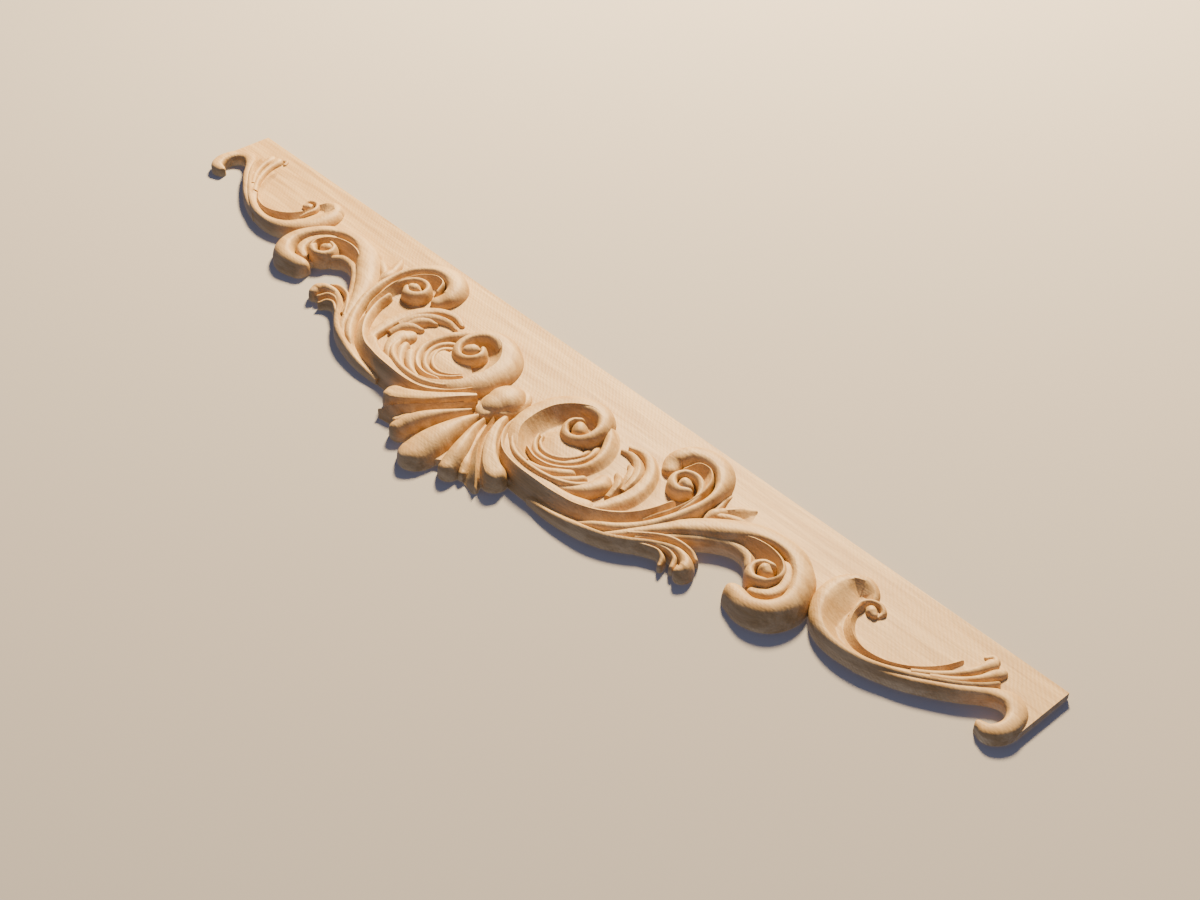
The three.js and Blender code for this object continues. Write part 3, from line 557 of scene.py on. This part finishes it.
# Sizes of the patterns in millimetres. Fibres and pores are about a tenth of one across in the
# real wood, and are drawn coarser here so that they show.
layer_length, layer_width = 166.667, 10.0
fibre_length, fibre_width = 33.3333, 1.42857
pore_length, pore_width = 6.66667, 0.833333
gouge_mark_pitch = 4.18879
mark_height = 0.4
gouge_mark_share = 0.22


# An sRGB colour as the linear values that a shader takes
def linear(hex_colour):
    channels = [int(hex_colour[i:i + 2], 16) / 255 for i in (1, 3, 5)]
    return [c / 12.92 if c <= 0.04045 else ((c + 0.055) / 1.055) ** 2.4 for c in channels] + [1.0]


# Adds a node with its settings and the links that come in to it
def node(tree, kind, settings=None, links=None):
    made = tree.nodes.new(kind)
    for key, value in (settings or {}).items():
        if isinstance(key, str) and hasattr(made, key):
            setattr(made, key, value)
        else:
            made.inputs[key].default_value = value
    for key, source in (links or {}).items():
        tree.links.new(source, made.inputs[key])
    return made


wood = bpy.data.materials.new("pale_hardwood")
wood.use_nodes = True
wood_tree = wood.node_tree
wood_tree.nodes.clear()
coordinates = node(wood_tree, "ShaderNodeTexCoord").outputs["Object"]


# Space for a pattern whose cells have this length along the grain and this width across it
def grain_space(length, width):
    scale = [1 / (size * millimetre) for size in (length, width, width)]
    return node(wood_tree, "ShaderNodeMapping", {"Scale": scale}, {"Vector": coordinates}).outputs[0]


layers = node(wood_tree, "ShaderNodeTexNoise",
              {"Scale": 1.3, "Detail": 5.0, "Roughness": 0.6, "Distortion": 0.4},
              {"Vector": grain_space(layer_length, layer_width)})
tone = node(wood_tree, "ShaderNodeValToRGB", None, {"Fac": layers.outputs["Fac"]})
dark_stop, pale_stop = tone.color_ramp.elements
dark_stop.position = dark_layer_end
dark_stop.color = linear(dark_layer_colour)
pale_stop.position = pale_layer_start
pale_stop.color = linear(pale_layer_colour)
fibres = node(wood_tree, "ShaderNodeTexNoise",
              {"Scale": 1.0, "Detail": 3.0, "Roughness": 0.6},
              {"Vector": grain_space(fibre_length, fibre_width)})
fibre_tone = node(wood_tree, "ShaderNodeMapRange",
                  {"From Min": 0.35, "From Max": 0.75, "To Min": 0.84, "To Max": 1.08},
                  {"Value": fibres.outputs["Fac"]})
pores = node(wood_tree, "ShaderNodeTexVoronoi",
             {"Scale": 1.0, "Randomness": 1.0},
             {"Vector": grain_space(pore_length, pore_width)})
pore_tone = node(wood_tree, "ShaderNodeMapRange",
                 {"From Min": 0.05, "From Max": 0.3, "To Min": 0.7, "To Max": 1.0},
                 {"Value": pores.outputs["Distance"]})
both_tones = node(wood_tree, "ShaderNodeMath", {"operation": "MULTIPLY"},
                  {0: fibre_tone.outputs[0], 1: pore_tone.outputs[0]})
shaded = node(wood_tree, "ShaderNodeVectorMath", {"operation": "SCALE"},
              {0: tone.outputs["Color"], "Scale": both_tones.outputs[0]})

# A diagonal wave repeats every 2 pi / 10 units along an axis
band_scale = math.tau / 10 / (gouge_mark_pitch * millimetre)
cuts = node(wood_tree, "ShaderNodeTexWave",
            {"Scale": band_scale, "Distortion": 7.0, "Detail": 2.0, "Detail Scale": 0.3,
             "bands_direction": "DIAGONAL"},
            {"Vector": coordinates})
relief = node(wood_tree, "ShaderNodeMath", {"operation": "MULTIPLY_ADD", 1: gouge_mark_share},
              {0: cuts.outputs["Fac"], 2: fibres.outputs["Fac"]})
bump = node(wood_tree, "ShaderNodeBump", {"Strength": 0.6, "Distance": mark_height * millimetre},
            {"Height": relief.outputs[0]})
surface = node(wood_tree, "ShaderNodeBsdfPrincipled", {"Roughness": 0.55, "Specular IOR Level": 0.35},
               {"Base Color": shaded.outputs[0], "Normal": bump.outputs[0]})
node(wood_tree, "ShaderNodeOutputMaterial", None, {"Surface": surface.outputs[0]})
joined_mesh.materials.append(wood)

# Backdrop: a plain pale sheet that the flat back lies on. Only its front is seen, so the back
# of the board stays open to view and to light.
sheet_half_size = 6.0
gap_behind_board = 0.6
sheet_colour = "#a5a39e"
backdrop_mesh = bpy.data.meshes.new("backdrop")
bm = bmesh.new()
bmesh.ops.create_grid(bm, x_segments=1, y_segments=1, size=sheet_half_size)
upright = Matrix.Rotation(math.radians(90), 3, "X")
bmesh.ops.rotate(bm, cent=(0, 0, 0), matrix=upright, verts=bm.verts)
bm.to_mesh(backdrop_mesh)
bm.free()
backdrop = bpy.data.objects.new("backdrop", backdrop_mesh)
backdrop.location = (0.0, gap_behind_board * millimetre, 0.0)
bpy.context.collection.objects.link(backdrop)
pale = bpy.data.materials.new("pale_backdrop")
pale.use_nodes = True
pale_tree = pale.node_tree
pale_tree.nodes.clear()
ray = node(pale_tree, "ShaderNodeLightPath")
side = node(pale_tree, "ShaderNodeNewGeometry")
seen = node(pale_tree, "ShaderNodeMath", {"operation": "SUBTRACT", "use_clamp": True},
            {0: ray.outputs["Is Camera Ray"], 1: side.outputs["Backfacing"]})
clear = node(pale_tree, "ShaderNodeBsdfTransparent")
sheet = node(pale_tree, "ShaderNodeBsdfDiffuse", {"Color": linear(sheet_colour)})
shown = node(pale_tree, "ShaderNodeMixShader", None,
             {0: seen.outputs[0], 1: clear.outputs[0], 2: sheet.outputs[0]})
node(pale_tree, "ShaderNodeOutputMaterial", None, {"Surface": shown.outputs[0]})
backdrop_mesh.materials.append(pale)

# Lights: one soft warm key low on the straight-edge side, which throws the walls on the shell
# side into shadow, a weak lamp behind the board, and an even bluish fill from all round. The
# camera sees plain pale grey in place of the fill.
key_direction = Vector((0.45, -0.69, -0.67)).normalized()
key_distance, key_size, key_power = 2.4, 0.45, 350.0
key_colour = "#ffe0b0"
back_place, back_direction = Vector((0.0, 3.0, 0.3)), Vector((0.0, 1.0, 0.1))
back_size, back_power = 1.5, 60.0
fill_colour, fill_strength = "#c0c6f2", 0.48
plain_colour, plain_strength = "#dcdcd8", 0.7


# A round lamp, turned so that its light goes against the given direction
def disk_lamp(name, size, power, position, direction):
    lamp_data = bpy.data.lights.new(name, "AREA")
    lamp_data.shape = "DISK"
    lamp_data.size = size
    lamp_data.energy = power
    lamp = bpy.data.objects.new(name, lamp_data)
    lamp.location = position
    lamp.rotation_mode = "QUATERNION"
    lamp.rotation_quaternion = direction.to_track_quat("Z", "Y")
    bpy.context.collection.objects.link(lamp)
    return lamp_data


key_data = disk_lamp("key", key_size, key_power, key_direction * key_distance, key_direction)
key_data.color = linear(key_colour)[:3]
disk_lamp("back", back_size, back_power, back_place, back_direction)
world = bpy.data.worlds.new("studio")
world.use_nodes = True
world_tree = world.node_tree
world_tree.nodes.clear()
looked_at = node(world_tree, "ShaderNodeLightPath")
fill = node(world_tree, "ShaderNodeBackground", {"Color": linear(fill_colour), "Strength": fill_strength})
plain = node(world_tree, "ShaderNodeBackground",
             {"Color": linear(plain_colour), "Strength": plain_strength})
sky = node(world_tree, "ShaderNodeMixShader", None,
           {0: looked_at.outputs["Is Camera Ray"], 1: fill.outputs[0], 2: plain.outputs[0]})
node(world_tree, "ShaderNodeOutputWorld", None, {"Surface": sky.outputs[0]})
bpy.context.scene.world = world
